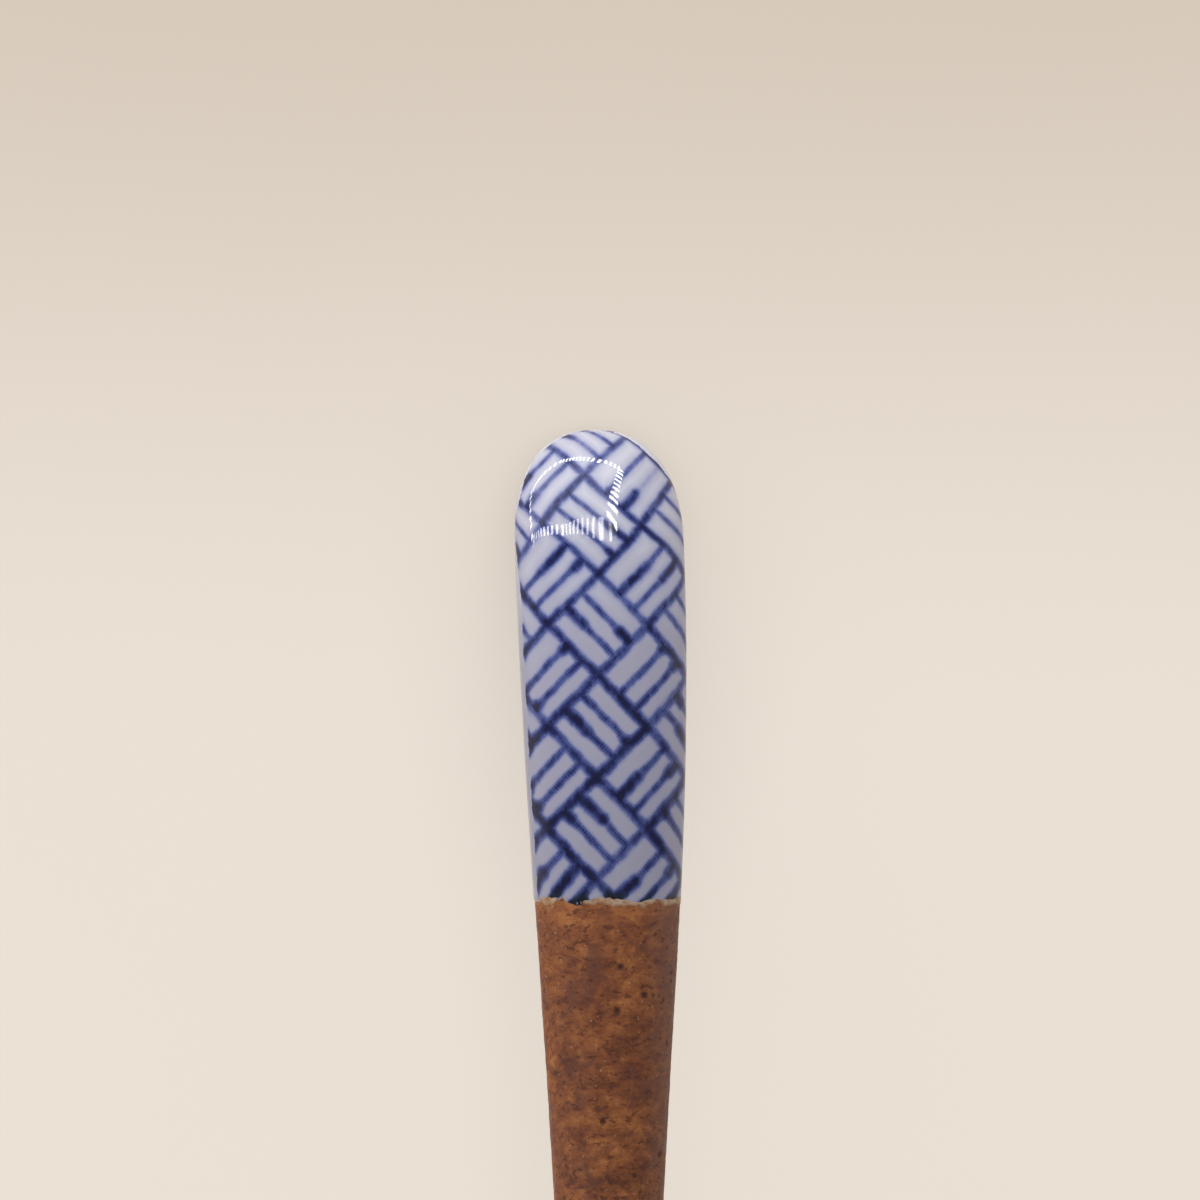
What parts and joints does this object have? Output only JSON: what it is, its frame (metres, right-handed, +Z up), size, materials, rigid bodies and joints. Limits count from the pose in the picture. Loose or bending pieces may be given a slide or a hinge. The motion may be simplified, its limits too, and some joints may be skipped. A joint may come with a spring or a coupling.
{
  "type": "ceramic spoon",
  "caption": "Long-handled ceramic spoon with an egg-shaped bowl, a bare stoneware shank and a blue basket-weave glaze on the bowl and handle end.",
  "frame": {"origin": "on the table, under the middle of the spoon's box, as it lies on the foot of its bowl and on its handle's end", "axes": "+Y along the spoon towards the handle's end, +Z up out of the bowl, +X to the right of a user who looks along +Y"},
  "size_m": [0.043, 0.175, 0.018],
  "materials": {
    "stoneware": "bare, iron-brown, gritty, with a faint sheen",
    "slip": "matt cream fringe",
    "glaze": "glossy white with a cobalt-blue basket-weave print"
  },
  "bodies": {
    "root": {"stoneware_body": "stoneware", "bowl_slip": "slip", "bowl_glaze": "glaze", "handle_end_slip": "slip", "handle_end_glaze": "glaze"}
  },
  "joints": []
}
